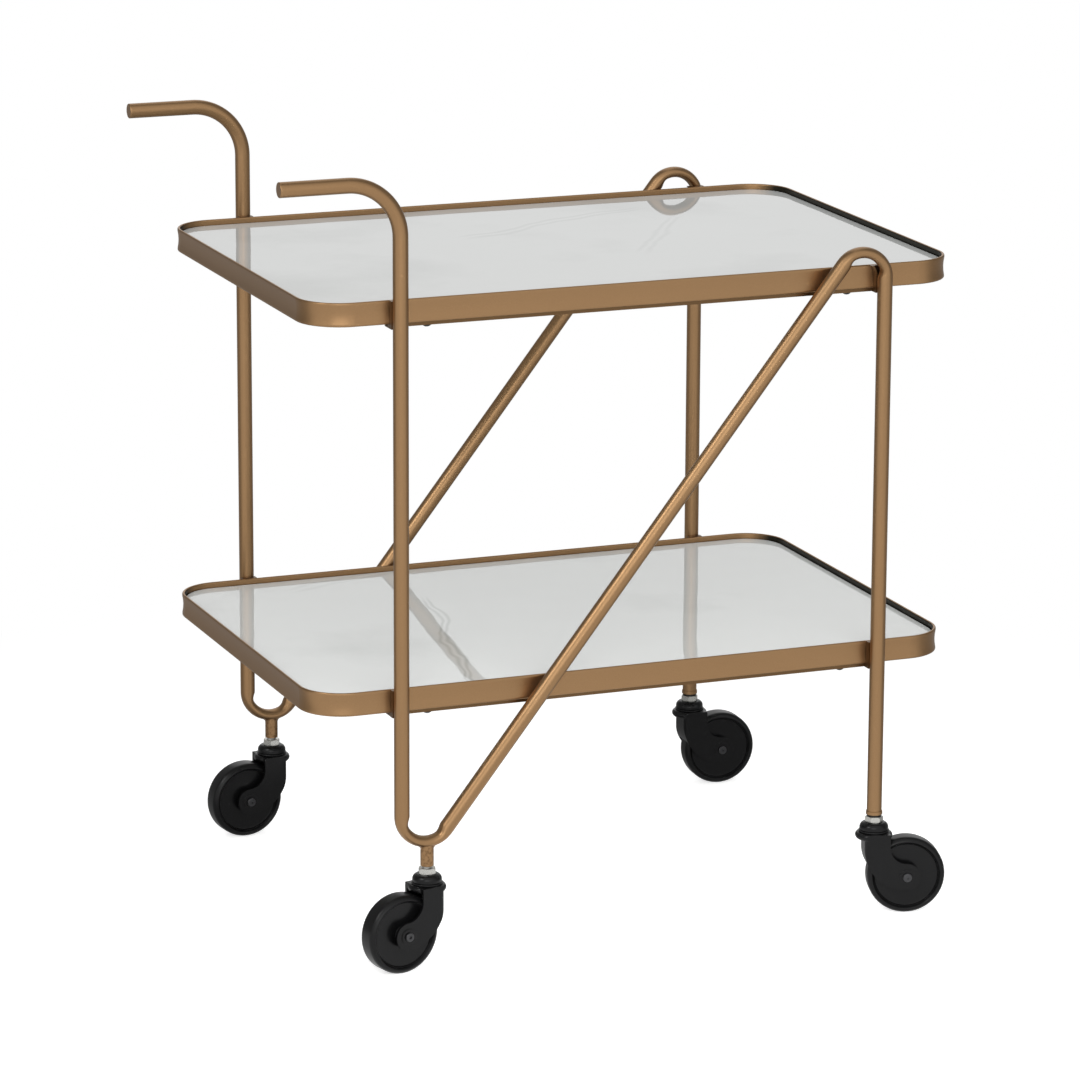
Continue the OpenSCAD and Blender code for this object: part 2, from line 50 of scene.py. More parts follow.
# ---- Side frames ----
# Two steel tubes, each bent cold in one piece: a hook handle, the left leg, a tight turn, the
# diagonal, a loop over the upper tray and the right leg. The tight bends squash the tube to an
# oval. Both are sprayed with a metallic lacquer in antique brass, which rubs lighter along edges.
tube_low, tube_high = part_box("side_frame_front")
tube_radius = (tube_high.y - tube_low.y) / 2
side_y = -tube_low.y - tube_radius
tube_sides = 48
bend_steps = 40
cap_wall = 0.002
handle_bend = 0.056
foot_bend = 0.0275
loop_bend = 0.027
squash_share = 0.27
squash_spread = 0.06
squash_full = 0.75
squash_margin = 0.001
stub_low, stub_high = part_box("caster_stubs")
bend_x = (stub_low.x + stub_high.x) / 2
left_x = bend_x - foot_bend
right_x = tube_high.x - tube_radius
handle_z = tube_high.z - tube_radius
loop_rise = 0.022
loop_centre = Vector((right_x - loop_bend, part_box("upper_rim")[1].z + loop_rise - tube_radius - loop_bend))
stub_length = 0.020
foot_centre = Vector((bend_x, stub_low.z + stub_length + tube_radius + foot_bend))
span = loop_centre - foot_centre
climb = math.atan2(span.y, span.x) + math.asin((foot_bend + loop_bend) / span.length)


def add(tree, kind, inputs=None, **settings):
    """A new node. Settings are its properties; inputs are values for its sockets, or what feeds them."""
    made = tree.nodes.new(kind)
    for name, value in settings.items():
        setattr(made, name, value)
    for socket, value in (inputs or {}).items():
        if isinstance(value, bpy.types.NodeSocket):
            tree.links.new(value, made.inputs[socket])
        else:
            made.inputs[socket].default_value = value
    return made


def effect(name, inputs, outputs):
    """A shader node group with float inputs and their usual values, and the named outputs."""
    tree = bpy.data.node_groups.new(name, "ShaderNodeTree")
    for label, usual in inputs.items():
        socket = tree.interface.new_socket(name=label, in_out="INPUT", socket_type="NodeSocketFloat")
        socket.default_value = usual
    for label in outputs:
        tree.interface.new_socket(name=label, in_out="OUTPUT", socket_type="NodeSocketFloat")
    return tree, add(tree, "NodeGroupInput").outputs


def place(tree, group, **values):
    """An effect placed in a material, with this finish's own values."""
    made = tree.nodes.new("ShaderNodeGroup")
    made.node_tree = group
    for label, value in values.items():
        made.inputs[label.replace("_", " ")].default_value = value
    return made.outputs


def worn_edges():
    """Where a finish is rubbed: along outer edges, in patches."""
    tree, given = effect("worn edges", {"Width": 0.001, "Patch Scale": 40.0}, ["Mask"])
    rounded = add(tree, "ShaderNodeBevel", {"Radius": given["Width"]}, samples=4)
    faces = add(tree, "ShaderNodeNewGeometry")
    same = add(tree, "ShaderNodeVectorMath", {0: rounded.outputs[0], 1: faces.outputs["Normal"]},
               operation="DOT_PRODUCT")
    edge = add(tree, "ShaderNodeMapRange",
               {"Value": same.outputs["Value"], "From Min": 0.995, "From Max": 0.90})
    where = add(tree, "ShaderNodeTexCoord").outputs["Object"]
    patches = add(tree, "ShaderNodeTexNoise",
                  {"Vector": where, "Scale": given["Patch Scale"], "Detail": 5.0, "Roughness": 0.6})
    patchy = add(tree, "ShaderNodeMapRange",
                 {"Value": patches.outputs["Fac"], "From Min": 0.42, "From Max": 0.62})
    mask = add(tree, "ShaderNodeMath", {0: edge.outputs[0], 1: patchy.outputs[0]}, operation="MULTIPLY")
    add(tree, "NodeGroupOutput", {"Mask": mask.outputs[0]})
    return tree


def speckle():
    """Fine grain of a sprayed, cast or moulded surface, from 0 to 1 around 0.5."""
    tree, given = effect("speckle", {"Scale": 1000.0, "Contrast": 1.0}, ["Grain"])
    where = add(tree, "ShaderNodeTexCoord").outputs["Object"]
    noise = add(tree, "ShaderNodeTexNoise",
                {"Vector": where, "Scale": given["Scale"], "Detail": 3.0, "Roughness": 0.7})
    centred = add(tree, "ShaderNodeMath", {0: noise.outputs["Fac"], 1: 0.5}, operation="SUBTRACT")
    spread = add(tree, "ShaderNodeMath", {0: centred.outputs[0], 1: given["Contrast"], 2: 0.5},
                 operation="MULTIPLY_ADD", use_clamp=True)
    add(tree, "NodeGroupOutput", {"Grain": spread.outputs[0]})
    return tree


WORN_EDGES = worn_edges()
SPECKLE = speckle()


def finish(name):
    """A new material with its tree, its shader and the object's coordinates."""
    made = bpy.data.materials.new(name)
    made.use_nodes = True
    tree = made.node_tree
    where = add(tree, "ShaderNodeTexCoord").outputs["Object"]
    return made, tree, tree.nodes["Principled BSDF"], where


def blend_colours(tree, share, low, high):
    """One colour going over into another with a share from 0 to 1."""
    made = add(tree, "ShaderNodeMix", data_type="RGBA")
    for socket, value in (("Factor", share), ("A", low), ("B", high)):
        slot = next(s for s in made.inputs if s.name == socket and s.enabled)
        if isinstance(value, bpy.types.NodeSocket):
            tree.links.new(value, slot)
        else:
            slot.default_value = value
    return next(s for s in made.outputs if s.enabled)


def ranged(tree, value, low, high):
    """A value from 0 to 1 spread between two others."""
    return add(tree, "ShaderNodeMapRange", {"Value": value, "To Min": low, "To Max": high}).outputs[0]


HEAT_BROWN = (0.060, 0.028, 0.014, 1)


def lacquer(name, deep, light, worn, stains=0.0):
    """Metallic lacquer: fine flakes in a tinted coat, rubbed edges, and brown stains beside welds."""
    made, tree, shader, where = finish(name)
    flakes = place(tree, SPECKLE, Scale=1400.0, Contrast=1.0)["Grain"]
    clouds = add(tree, "ShaderNodeTexNoise", {"Vector": where, "Scale": 9.0, "Detail": 3.0}).outputs["Fac"]
    flake_colour = blend_colours(tree, flakes, deep, light)
    toned = blend_colours(tree, ranged(tree, clouds, 0.0, 0.35), flake_colour, deep)
    spots = add(tree, "ShaderNodeTexNoise", {"Vector": where, "Scale": 320.0, "Detail": 5.0}).outputs["Fac"]
    stained = add(tree, "ShaderNodeMapRange",
                  {"Value": spots, "From Min": 0.47, "From Max": 0.66, "To Max": stains}).outputs[0]
    spotted = blend_colours(tree, stained, toned, HEAT_BROWN)
    rubbed = place(tree, WORN_EDGES, Width=0.0009, Patch_Scale=60.0)["Mask"]
    colour = blend_colours(tree, ranged(tree, rubbed, 0.0, 0.5), spotted, worn)
    tree.links.new(colour, shader.inputs["Base Color"])
    tree.links.new(ranged(tree, flakes, 0.30, 0.40), shader.inputs["Roughness"])
    bump = add(tree, "ShaderNodeBump", {"Height": flakes, "Strength": 0.05, "Distance": 0.0002})
    tree.links.new(bump.outputs[0], shader.inputs["Normal"])
    shader.inputs["Metallic"].default_value = 0.95
    shader.inputs["Specular Tint"].default_value = (1, 1, 1, 1)
    return made


BRASS_DEEP = (0.270, 0.158, 0.076, 1)
BRASS_LIGHT = (0.400, 0.242, 0.120, 1)
BRASS_WORN = (0.55, 0.36, 0.19, 1)
BRASS = lacquer("antique_brass", BRASS_DEEP, BRASS_LIGHT, BRASS_WORN)


def shape_tree(name, sizes):
    """A Geometry Nodes tree that makes a shape from a guide mesh and the named sizes."""
    tree = bpy.data.node_groups.new(name, "GeometryNodeTree")
    tree.interface.new_socket(name="Guide", in_out="INPUT", socket_type="NodeSocketGeometry")
    for label, kind in sizes.items():
        tree.interface.new_socket(name=label, in_out="INPUT", socket_type="NodeSocket" + kind)
    tree.interface.new_socket(name="Finish", in_out="INPUT", socket_type="NodeSocketMaterial")
    tree.interface.new_socket(name="Shape", in_out="OUTPUT", socket_type="NodeSocketGeometry")
    return tree, add(tree, "NodeGroupInput").outputs


def end_tree(tree, geometry, material):
    """The last nodes of every shape: real geometry, smooth, in its finish."""
    real = add(tree, "GeometryNodeRealizeInstances", {0: geometry}).outputs[0]
    smooth = add(tree, "GeometryNodeSetShadeSmooth", {0: real}).outputs[0]
    dressed = add(tree, "GeometryNodeSetMaterial", {0: smooth, "Material": material}).outputs[0]
    add(tree, "NodeGroupOutput", {"Shape": dressed})


def grow(name, tree, guide, values, crease=35):
    """The plain mesh that a tree makes from a guide mesh, with edges over the crease angle sharp."""
    holder = bpy.data.objects.new(name + "_guide", guide)
    bpy.context.scene.collection.objects.link(holder)
    modifier = holder.modifiers.new(name, "NODES")
    modifier.node_group = tree
    for item in tree.interface.items_tree:
        if item.in_out == "INPUT" and item.name in values:
            modifier[item.identifier] = values[item.name]
    bpy.context.view_layer.update()
    shape = bpy.data.meshes.new_from_object(holder.evaluated_get(bpy.context.evaluated_depsgraph_get()))
    bpy.data.objects.remove(holder)
    shape.name = name
    shape.set_sharp_from_angle(angle=math.radians(crease))
    piece = bpy.data.objects.new(name, shape)
    bpy.context.scene.collection.objects.link(piece)
    return piece


def bent_tube():
    """A round tube swept along its corners, each rounded to its own bend."""
    tree, given = shape_tree("bent tube", {"Tube Radius": "Float", "Tube Sides": "Int", "Bend Steps": "Int"})
    line = add(tree, "GeometryNodeMeshToCurve", {0: given["Guide"]}).outputs[0]
    bend = add(tree, "GeometryNodeInputNamedAttribute", {"Name": "bend"}, data_type="FLOAT").outputs[0]
    rounded = add(tree, "GeometryNodeFilletCurve",
                  {"Curve": line, "Count": given["Bend Steps"], "Radius": bend}, mode="POLY").outputs[0]
    ring = add(tree, "GeometryNodeCurvePrimitiveCircle",
               {"Resolution": given["Tube Sides"], "Radius": given["Tube Radius"]}, mode="RADIUS").outputs[0]
    tube = add(tree, "GeometryNodeCurveToMesh", {0: rounded, 1: ring, "Fill Caps": True}).outputs[0]
    end_tree(tree, tube, given["Finish"])
    return tree


def corner_at(x):
    """Where the diagonal's centre line would meet an upright line."""
    start = foot_centre + foot_bend * Vector((math.sin(climb), -math.cos(climb)))
    return Vector((x, start.y + (x - start.x) * math.tan(climb)))


def side_guide(name, y):
    """Corners of one side frame, in order from the handle's end, with the bend at each."""
    handle_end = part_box("handle_caps")[0].x + cap_wall
    leg_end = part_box("side_frame_front")[0].z
    corners = [(handle_end, handle_z, 0.0), (left_x, handle_z, handle_bend), (*corner_at(left_x), foot_bend),
               (*corner_at(right_x), loop_bend), (right_x, leg_end, 0.0)]
    guide = bpy.data.meshes.new(name)
    guide.from_pydata([(x, y, z) for x, z, _ in corners], [(i, i + 1) for i in range(len(corners) - 1)], [])
    bends = guide.attributes.new("bend", "FLOAT", "POINT")
    for i, (_, _, bend) in enumerate(corners):
        bends.data[i].value = bend
    return guide


def squash_bend(shape, y, centre, bend, facing):
    """Makes the tube oval round one tight bend: its inner wall comes out, and its sides spread."""
    outer = bend + tube_radius
    upright = Vector((-1.0, 0.0)) * facing
    middle = (upright + Vector((math.sin(climb), -math.cos(climb))) * facing).normalized()
    start = middle.dot(upright)
    for point in shape.vertices:
        away = Vector((point.co.x, point.co.z)) - centre
        reach = away.length
        if reach > outer + squash_margin:
            continue
        share = min(max((away.dot(middle) / reach - start) / (squash_full - start), 0.0), 1.0)
        share *= share * (3 - 2 * share)
        moved = centre + away * ((reach + (outer - reach) * squash_share * share) / reach)
        point.co = (moved.x, y + (point.co.y - y) * (1 + squash_spread * share), moved.y)


BENT_TUBE = bent_tube()
for side, y in (("front", -side_y), ("rear", side_y)):
    tube = grow("tube_" + side, BENT_TUBE, side_guide("tube_line_" + side, y),
                {"Tube Radius": tube_radius, "Tube Sides": tube_sides, "Bend Steps": bend_steps,
                 "Finish": BRASS})
    squash_bend(tube.data, y, foot_centre, foot_bend, 1)
    squash_bend(tube.data, y, loop_centre, loop_bend, -1)
    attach(tube, "root")
    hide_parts("side_frame_" + side)

# ---- Handle caps ----
# Pressed steel caps that close both handle ends. They are knocked in before the frame is sprayed,
# so they have the tube's own lacquer.


def dress(material, *names):
    """Gives carried-over CAD nodes their finish."""
    for name in names:
        nodes[name].data.materials.clear()
        nodes[name].data.materials.append(material)


dress(BRASS, "handle_caps")

# ---- Caster stubs and leg inserts ----
# Short sockets with an M10 thread, thinner than the tube: one is welded under each left bend, and
# one closes each right leg and stands on the stem nut with a bare steel foot. The lacquer is
# stained brown where it was heated.
weld_along = 0.0112
weld_across = 0.0076
weld_neck = 0.0028
weld_bow = 0.0003
weld_grip = 1.002
weld_inside = 0.85
weld_buried = 0.0015
weld_sides = 48
weld_steps = 7
stub_radius = (stub_high.x - stub_low.x) / 2
foot_joint_z = stub_low.z
joint_blur = 0.0001
STEEL_DARK = (0.020, 0.018, 0.016, 1)
STEEL_PALE = (0.045, 0.040, 0.036, 1)
BRASS_STAINED = lacquer("antique_brass_stained", BRASS_DEEP, BRASS_LIGHT, BRASS_WORN, 0.55)


def bend_underside(x, y):
    """Height of the foot bend's lower surface, at a place counted from the bend's centre."""
    section = math.sqrt(max(tube_radius ** 2 - y ** 2, 0.0))
    return foot_centre.y - math.sqrt((foot_bend + section) ** 2 - x ** 2)


def ring_mesh(name, rings):
    """A closed mesh through rings of points, with the last ring joined to the first."""
    shape = bmesh.new()
    made = [[shape.verts.new(point) for point in ring] for ring in rings]
    for here, after in zip(made, made[1:] + made[:1]):
        for i in range(len(here)):
            k = (i + 1) % len(here)
            shape.faces.new((here[i], here[k], after[k], after[i]))
    bmesh.ops.recalc_face_normals(shape, faces=shape.faces)
    mesh = bpy.data.meshes.new(name)
    shape.to_mesh(mesh)
    shape.free()
    mesh.shade_smooth()
    mesh.set_sharp_from_angle(angle=math.radians(40))
    piece = bpy.data.objects.new(name, mesh)
    bpy.context.scene.collection.objects.link(piece)
    return piece


def weld_ring(name, y):
    """The weld's hollow fillet between the bend and the stub, closed by two hidden rings."""
    lines = []
    for i in range(weld_sides):
        turn = 2 * math.pi * i / weld_sides
        ripple = 1 + 0.02 * math.sin(9 * turn) + 0.015 * math.sin(14 * turn + 1)
        out = Vector((weld_along * math.cos(turn) * ripple, weld_across * math.sin(turn)))
        wall = stub_radius * weld_grip * Vector((math.cos(turn), math.sin(turn)))
        bow = wall.lerp(out, 0.15)
        foot = Vector((*wall, bend_underside(*wall) - weld_neck * ripple))
        top = Vector((*out, bend_underside(*out)))
        middle = Vector((*bow, bend_underside(*bow) - weld_bow))
        line = []
        for step in range(weld_steps + 1):
            s = step / weld_steps
            line.append(top * (1 - s) ** 2 + middle * 2 * s * (1 - s) + foot * s ** 2)
        line.append(Vector((*(wall * weld_inside), foot.z)))
        line.append(Vector((*(out * weld_inside), top.z + weld_buried)))
        lines.append([point + Vector((foot_centre.x, y, 0)) for point in line])
    return ring_mesh(name, [list(ring) for ring in zip(*lines)])


for side, y in (("front", -side_y), ("rear", side_y)):
    weld = weld_ring("stub_weld_" + side, y)
    weld.data.materials.append(BRASS_STAINED)
    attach(weld, "root")


def insert_finish():
    """Lacquered collar over a bare dark steel foot."""
    made, tree, shader, where = finish("leg_insert")
    height = add(tree, "ShaderNodeSeparateXYZ", {0: where}).outputs["Z"]
    above = add(tree, "ShaderNodeMapRange", {"Value": height, "From Min": foot_joint_z - joint_blur,
                                             "From Max": foot_joint_z + joint_blur}).outputs[0]
    grain = place(tree, SPECKLE, Scale=1200.0, Contrast=1.2)["Grain"]
    lacquered = blend_colours(tree, grain, BRASS_DEEP, BRASS_LIGHT)
    bare_foot_and_painted_shade = blend_colours(tree, grain, STEEL_DARK, STEEL_PALE)
    tree.links.new(blend_colours(tree, above, bare_foot_and_painted_shade, lacquered), shader.inputs["Base Color"])
    tree.links.new(ranged(tree, grain, 0.32, 0.45), shader.inputs["Roughness"])
    shader.inputs["Metallic"].default_value = 0.95
    shader.inputs["Specular Tint"].default_value = (1, 1, 1, 1)
    return made


dress(BRASS_STAINED, "caster_stubs")
dress(insert_finish(), "leg_inserts")

# ---- Tray rims ----
# Bands rolled from steel strip, hollow along the outer face and bent round the corners, welded
# into one ring, in the same lacquer. The inside of both end walls is darkened in colour: painted
# shade, where those walls face away from the light.
# Colour of the painted shade on the inside of the end walls.
PAINTED_SHADE_DARK = (0.030, 0.028, 0.020, 1)
end_wall = (0.55, 0.85)


def rim_finish():
    made = BRASS.copy()
    made.name = "antique_brass_rim"
    tree = made.node_tree
    shader = tree.nodes["Principled BSDF"]
    faces = add(tree, "ShaderNodeNewGeometry").outputs
    facing = add(tree, "ShaderNodeSeparateXYZ", {0: faces["Normal"]}).outputs["X"]
    across = add(tree, "ShaderNodeSeparateXYZ", {0: faces["Position"]}).outputs["X"]
    side = add(tree, "ShaderNodeMath", {0: across}, operation="SIGN").outputs[0]
    inward = add(tree, "ShaderNodeMath", {0: facing, 1: side}, operation="MULTIPLY").outputs[0]
    # Painted shade: faces on the end walls that turn inward across the tray go dark.
    bare_foot_and_painted_shade = add(tree, "ShaderNodeMapRange",
               {"Value": inward, "From Min": -end_wall[0], "From Max": -end_wall[1]}).outputs[0]
    colour = shader.inputs["Base Color"].links[0].from_socket
    tree.links.new(blend_colours(tree, bare_foot_and_painted_shade, colour, PAINTED_SHADE_DARK), shader.inputs["Base Color"])
    return made


dress(rim_finish(), "upper_rim", "lower_rim")

# ---- Support rails and brackets ----
# Box-section steel rails under the trays, and plates that carry the trays on the legs, in the same
# lacquer, with its colours darkened as painted shade, since they lie in the shade of the trays.
SHADE_DEEP = (0.110, 0.062, 0.030, 1)
SHADE_LIGHT = (0.20, 0.120, 0.055, 1)
SHADE_WORN = (0.40, 0.26, 0.13, 1)
SHADE_BRASS = lacquer("shaded_brass", SHADE_DEEP, SHADE_LIGHT, SHADE_WORN)
dress(SHADE_BRASS, *(n for n in nodes if "_rail_" in n or "brackets" in n))

# ---- Glass panels ----
# Opal float glass with a faint grey marbling, polished, lying on clear pads inside the rims. Float
# glass is never quite flat, so what it mirrors is a little wavy.


def vein():
    """A wandering double line, for marbling and for a painted reflection: its turn and offset in plan, its
    ends and its width.
    """
    tree, given = effect("vein", {"Turn": 0.0, "Offset": 0.0, "Start": 0.0, "End": 0.1, "Width": 0.003,
                                  "Wander": 0.02}, ["Mask"])
    where = add(tree, "ShaderNodeTexCoord").outputs["Object"]
    turned = add(tree, "ShaderNodeVectorRotate", {"Vector": where, "Angle": given["Turn"]},
                 rotation_type="Z_AXIS", invert=True).outputs[0]
    flat = add(tree, "ShaderNodeSeparateXYZ", {0: turned}).outputs
    noise = add(tree, "ShaderNodeTexNoise", {"Vector": where, "Scale": 9.0, "Detail": 2.0}).outputs["Fac"]
    sway = add(tree, "ShaderNodeMath", {0: noise, 1: 0.5}, operation="SUBTRACT").outputs[0]
    swayed = add(tree, "ShaderNodeMath", {0: sway, 1: given["Wander"], 2: flat["Y"]},
                 operation="MULTIPLY_ADD")
    apart = add(tree, "ShaderNodeMath", {0: swayed.outputs[0], 1: given["Offset"]}, operation="SUBTRACT")
    reach = add(tree, "ShaderNodeMath", {0: apart.outputs[0]}, operation="ABSOLUTE").outputs[0]
    beside = add(tree, "ShaderNodeMath", {0: reach, 1: given["Width"]}, operation="SUBTRACT").outputs[0]
    away = add(tree, "ShaderNodeMath", {0: beside}, operation="ABSOLUTE").outputs[0]
    line = add(tree, "ShaderNodeMapRange", {"Value": away, "From Max": given["Width"], "To Min": 1.0,
                                            "To Max": 0.0}, interpolation_type="SMOOTHSTEP").outputs[0]
    after = add(tree, "ShaderNodeMath", {0: flat["X"], 1: given["Start"]}, operation="SUBTRACT").outputs[0]
    before = add(tree, "ShaderNodeMath", {0: given["End"], 1: flat["X"]}, operation="SUBTRACT").outputs[0]
    within = add(tree, "ShaderNodeMath", {0: after, 1: before}, operation="MINIMUM").outputs[0]
    fade = add(tree, "ShaderNodeMapRange", {"Value": within, "From Max": 0.04},
               interpolation_type="SMOOTHSTEP").outputs[0]
    mask = add(tree, "ShaderNodeMath", {0: line, 1: fade}, operation="MULTIPLY").outputs[0]
    add(tree, "NodeGroupOutput", {"Mask": mask})
    return tree


WANDERING_LINE = vein()
OPAL = (0.690, 0.705, 0.692, 1)
LINE_GREY = (0.36, 0.38, 0.36, 1)
PAD_CLEAR = (0.7, 0.72, 0.7, 1)
CLOUD_GREY = (0.56, 0.575, 0.56, 1)


def marbled_glass(name, drawn_lines):
    """Polished opal glass with soft clouds and the given grey lines, and a slow wave in its surface. The
    lines are veins, except one on the lower panel that is a painted reflection.
    """
    made, tree, shader, where = finish(name)
    mist = add(tree, "ShaderNodeTexNoise", {"Vector": where, "Scale": 4.5, "Detail": 5.0}).outputs["Fac"]
    cloud = add(tree, "ShaderNodeMapRange",
                {"Value": mist, "From Min": 0.52, "From Max": 0.72, "To Max": 0.8}).outputs[0]
    colour = blend_colours(tree, cloud, OPAL, CLOUD_GREY)
    for turn, offset, start, end, width, wander, strength in drawn_lines:
        mask = place(tree, WANDERING_LINE, Turn=turn, Offset=offset, Start=start, End=end, Width=width,
                     Wander=wander)["Mask"]
        colour = blend_colours(tree, ranged(tree, mask, 0.0, strength), colour, LINE_GREY)
    tree.links.new(colour, shader.inputs["Base Color"])
    wave = add(tree, "ShaderNodeTexNoise", {"Vector": where, "Scale": 9.0, "Detail": 1.0})
    bump = add(tree, "ShaderNodeBump", {"Height": wave.outputs["Fac"], "Strength": 1.0, "Distance": 0.0006})
    tree.links.new(bump.outputs[0], shader.inputs["Normal"])
    shader.inputs["Roughness"].default_value = 0.03
    return made


UPPER_VEINS = ((0.44, 0.083, -0.034, 0.254, 0.006, 0.05, 0.22),
               (0.99, -0.112, -0.02, 0.22, 0.005, 0.04, 0.18))
# The first lower line is a painted reflection: it runs along the edge of the rear diagonal tube's mirror
# image in the glass. The other lines are veins.
LOWER_VEINS_AND_REFLECTION = ((-1.75, -0.112, -0.11, 0.28, 0.0035, 0.055, 0.42),
               (0.32, 0.2555, -0.16, 0.01, 0.006, 0.04, 0.2))
dress(marbled_glass("marbled_glass_upper", UPPER_VEINS), "upper_glass")
dress(marbled_glass("marbled_glass_lower", LOWER_VEINS_AND_REFLECTION), "lower_glass")


def metal(name, colour, rough, pitch=0.0):
    """Bright or dark plated steel with a fine grain, and a screw thread of the given pitch."""
    made, tree, shader, where = finish(name)
    grain = place(tree, SPECKLE, Scale=900.0, Contrast=1.2)["Grain"]
    shade = blend_colours(tree, grain, [c * 0.85 for c in colour[:3]] + [1], colour)
    tree.links.new(shade, shader.inputs["Base Color"])
    tree.links.new(ranged(tree, grain, rough, rough + 0.12), shader.inputs["Roughness"])
    shader.inputs["Metallic"].default_value = 1.0
    if pitch:
        height = add(tree, "ShaderNodeSeparateXYZ", {0: where}).outputs["Z"]
        turns = add(tree, "ShaderNodeMath", {0: height, 1: 2 * math.pi / pitch}, operation="MULTIPLY")
        thread = add(tree, "ShaderNodeMath", {0: turns.outputs[0]}, operation="SINE").outputs[0]
        bump = add(tree, "ShaderNodeBump", {"Height": thread, "Strength": 0.6, "Distance": 0.0004})
        tree.links.new(bump.outputs[0], shader.inputs["Normal"])
    return made


dress(metal("clear_pad", PAD_CLEAR, 0.3), "upper_glass_pads", "lower_glass_pads")

# ---- Tray screws ----
# Round-headed machine screws in dark oiled steel. They are driven up through the rails, and hold
# each tray to them.
OILED = (0.050, 0.050, 0.052, 1)
DARK_STEEL = metal("dark_steel", OILED, 0.24)
dress(DARK_STEEL, "upper_tray_screws", "lower_tray_screws")

# ---- Caster stems and nuts ----
# M10 stems turned and rolled in steel, with a hexagon nut under each leg, all zinc plated.
ZINC_ROLLED = (0.66, 0.66, 0.64, 1)
ZINC_FLAT = (0.60, 0.595, 0.56, 1)
thread_pitch = 0.0015
dress(metal("zinc_thread", ZINC_ROLLED, 0.28, thread_pitch), "caster_stems")
dress(metal("zinc_plate", ZINC_FLAT, 0.22), "stem_nuts",
      *(n for n in nodes if n.startswith("axle_nut")))

# ---- Caster heads and forks ----
# Bearing cap, dust ring and fork, each moulded in black nylon with a fine grain. Their edges are
# left by the mould with a small round, and catch the light.
BLACK_SHADE = (0.0030, 0.0030, 0.0032, 1)
BLACK_RUBBED = (0.022, 0.021, 0.021, 1)
mould_edge = 0.0006


def plastic(name, low, high, edge):
    """Black moulding with a fine grain, softened edges and edges rubbed slightly grey."""
    made, tree, shader, where = finish(name)
    grain = place(tree, SPECKLE, Scale=1800.0, Contrast=1.2)["Grain"]
    rubbed = place(tree, WORN_EDGES, Width=0.0006, Patch_Scale=90.0)["Mask"]
    shade = blend_colours(tree, ranged(tree, rubbed, 0.0, 0.5), BLACK_SHADE, BLACK_RUBBED)
    tree.links.new(shade, shader.inputs["Base Color"])
    tree.links.new(ranged(tree, grain, low, high), shader.inputs["Roughness"])
    soft = add(tree, "ShaderNodeBevel", {"Radius": edge}, samples=6)
    bump = add(tree, "ShaderNodeBump",
               {"Height": grain, "Strength": 0.08, "Distance": 0.0002, "Normal": soft.outputs[0]})
    tree.links.new(bump.outputs[0], shader.inputs["Normal"])
    shader.inputs["Specular IOR Level"].default_value = 0.24
    return made


BLACK = plastic("black_moulding", 0.17, 0.28, mould_edge)
dress(BLACK, *(n for n in nodes if n.startswith(("caster_cap", "dust_ring", "fork"))))
AXLE_GREY = (0.085, 0.085, 0.088, 1)
dress(metal("axle_steel", AXLE_GREY, 0.24), *(n for n in nodes if n.startswith("axle_bolt")))
dress(DARK_STEEL, *(n for n in nodes if n.startswith(("axle_bush", "swivel_balls"))))

# ---- Wheels ----
# A moulded core with a hub for the axle's bush and a flat face set deep on both sides, and a soft
# black tyre pressed over it. The tyre's sides slope down to the core, and its shoulders are round.
core_low, core_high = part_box("wheel_core_front_left")
tyre_low, tyre_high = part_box("tyre_front_left")
wheel_radius = (tyre_high.z - tyre_low.z) / 2
core_radius = (core_high.z - core_low.z) / 2
tyre_gap = 0.00005
tyre_half = 0.012
shoulder = 0.006
shoulder_steps = 10
crest_turn = math.radians(80)
edge_half = 0.0094
floor_half = 0.0074
edge_width = 0.0012
hub_radius = 0.010
hub_half = 0.0133
bore_radius = 0.00605
bore_ease = 0.0004
hub_ease = 0.0009
root_ease = 0.0008
floor_ease = 0.0005
edge_ease = 0.0004
crest_ease = 0.0006
lathe_sides = 120
TYRE = plastic("black_tyre", 0.24, 0.36, mould_edge)


def eased(corners, steps=4):
    """An outline of radius and height whose corners are rounded by their own size."""
    line = []
    for i, (radius, height, ease) in enumerate(corners):
        here = Vector((radius, height))
        if not ease:
            line.append(here)
            continue
        before = (Vector(corners[i - 1][:2]) - here).normalized() * ease
        after = (Vector(corners[(i + 1) % len(corners)][:2]) - here).normalized() * ease
        for step in range(steps + 1):
            s = step / steps
            line.append(here + before * (1 - s) ** 2 + after * s ** 2)
    return line


def mirrored(half):
    """A closed outline from its upper half, listed from the bore outwards."""
    return half + [(radius, -height, ease) for radius, height, ease in reversed(half)]


def lathe(name, outline, joint):
    """A ring turned about a joint's axis."""
    centre = Vector(joint["pos_m"])
    along = Vector(joint["axis"]).normalized()
    across = along.cross(Vector((0, 0, 1))).normalized()
    up = across.cross(along)
    rings = []
    for radius, height in outline:
        ring = []
        for i in range(lathe_sides):
            turn = 2 * math.pi * i / lathe_sides
            ring.append(centre + along * height + (across * math.cos(turn) + up * math.sin(turn)) * radius)
        rings.append(ring)
    return ring_mesh(name, rings)


def core_outline():
    half = [(bore_radius, hub_half, bore_ease), (hub_radius, hub_half, hub_ease),
            (hub_radius, floor_half, root_ease), (core_radius - edge_width, floor_half, floor_ease),
            (core_radius, edge_half, edge_ease)]
    return eased(mirrored(half))


def tyre_outline():
    half = [(core_radius + tyre_gap, edge_half, edge_ease)]
    for step in range(shoulder_steps + 1):
        turn = crest_turn * (1 - step / shoulder_steps)
        half.append((wheel_radius - shoulder * (1 - math.cos(turn)),
                     tyre_half - shoulder * (1 - math.sin(turn)), 0.0 if step else crest_ease))
    return eased(mirrored(half))


